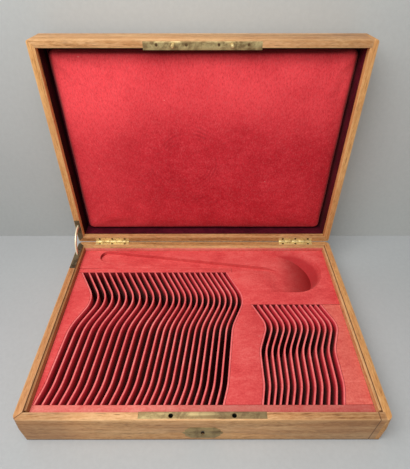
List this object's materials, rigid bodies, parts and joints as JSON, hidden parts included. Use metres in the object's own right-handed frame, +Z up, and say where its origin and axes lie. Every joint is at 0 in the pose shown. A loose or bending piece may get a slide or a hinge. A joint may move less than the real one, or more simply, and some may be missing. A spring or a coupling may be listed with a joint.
{
  "type": "antique cutlery chest",
  "caption": "Shallow oak cutlery chest with a hinged lid, padded velvet lining, a tray of curved slots and a ladle hollow.",
  "frame": {"origin": "centre of the underside, on the plane the chest stands on", "axes": "+X to the right seen from the front, +Y to the back, +Z up"},
  "size_m": [0.44, 0.3762, 0.3702],
  "materials": {
    "oak": "satin",
    "liner_oak": "satin",
    "velvet": "matte",
    "brass": "satin",
    "aged_brass": "matte",
    "steel": "satin"
  },
  "bodies": {
    "case": {"hinge_case_screws": "brass", "stay_case_screws": "aged_brass", "lock_screws": "aged_brass", "case_front_wall": "oak", "case_liner_front": "liner_oak", "case_back_wall": "oak", "case_liner_back": "liner_oak", "case_left_wall": "oak", "case_liner_left": "liner_oak", "case_right_wall": "oak", "case_liner_right": "liner_oak", "case_bottom_board": "liner_oak", "tray_floor": "velvet", "tray_front_strip": "velvet", "tray_back_strip": "velvet", "tray_back_lining": "velvet", "tray_left_deck": "velvet", "tray_middle_deck": "velvet", "tray_right_deck": "velvet", "tray_ladle_block": "velvet", "table_bars_wide": "velvet", "table_bars_narrow": "velvet", "table_border_bars": "velvet", "coffee_bars": "velvet", "coffee_border_bars": "velvet", "lock_selvedge": "aged_brass", "lock_rivets": "aged_brass", "lock_case": "aged_brass", "lock_cap": "aged_brass", "lock_spring": "steel", "lock_key_pin": "steel", "escutcheon": "aged_brass", "escutcheon_pins": "aged_brass", "stay_case_plate": "aged_brass", "hinge_left_case_leaf": "brass", "hinge_left_pin": "brass", "hinge_right_case_leaf": "brass", "hinge_right_pin": "brass"},
    "lid": {"lid_front_rail": "oak", "lid_lining_front": "velvet", "lid_back_rail": "oak", "lid_lining_back": "velvet", "lid_left_rail": "oak", "lid_lining_left": "velvet", "lid_right_rail": "oak", "lid_lining_right": "velvet", "lid_top_board": "oak", "lid_pad_board": "velvet", "lid_pad": "velvet", "strike_plate": "brass", "strike_studs": "brass", "strike_screws": "brass", "stay_lid_plate": "aged_brass", "stay_lid_screws": "aged_brass", "hinge_lid_screws": "brass", "hinge_left_lid_leaf": "brass", "hinge_right_lid_leaf": "brass"},
    "stay_arm": {"stay_arm": "brass"},
    "lock_bolt": {"lock_bolt": "aged_brass"}
  },
  "joints": [
    {"name": "lid_hinge", "type": "hinge", "parent": "case", "child": "lid", "pos_m": [0, 0.1579, 0.0552], "axis": [1, 0, 0], "range_deg": [0, 93]},
    {"name": "stay_slide", "type": "hinge", "parent": "case", "child": "stay_arm", "pos_m": [0, 0.1579, 0.0552], "axis": [1, 0, 0], "range_deg": [0, 46.5]},
    {"name": "bolt_slide", "type": "slide", "parent": "case", "child": "lock_bolt", "axis": [1, 0, 0], "range_m": [0, 0.0055]}
  ],
  "couplings": [
    {"joint": "stay_slide", "follows": "lid_hinge", "ratio": 0.5}
  ]
}
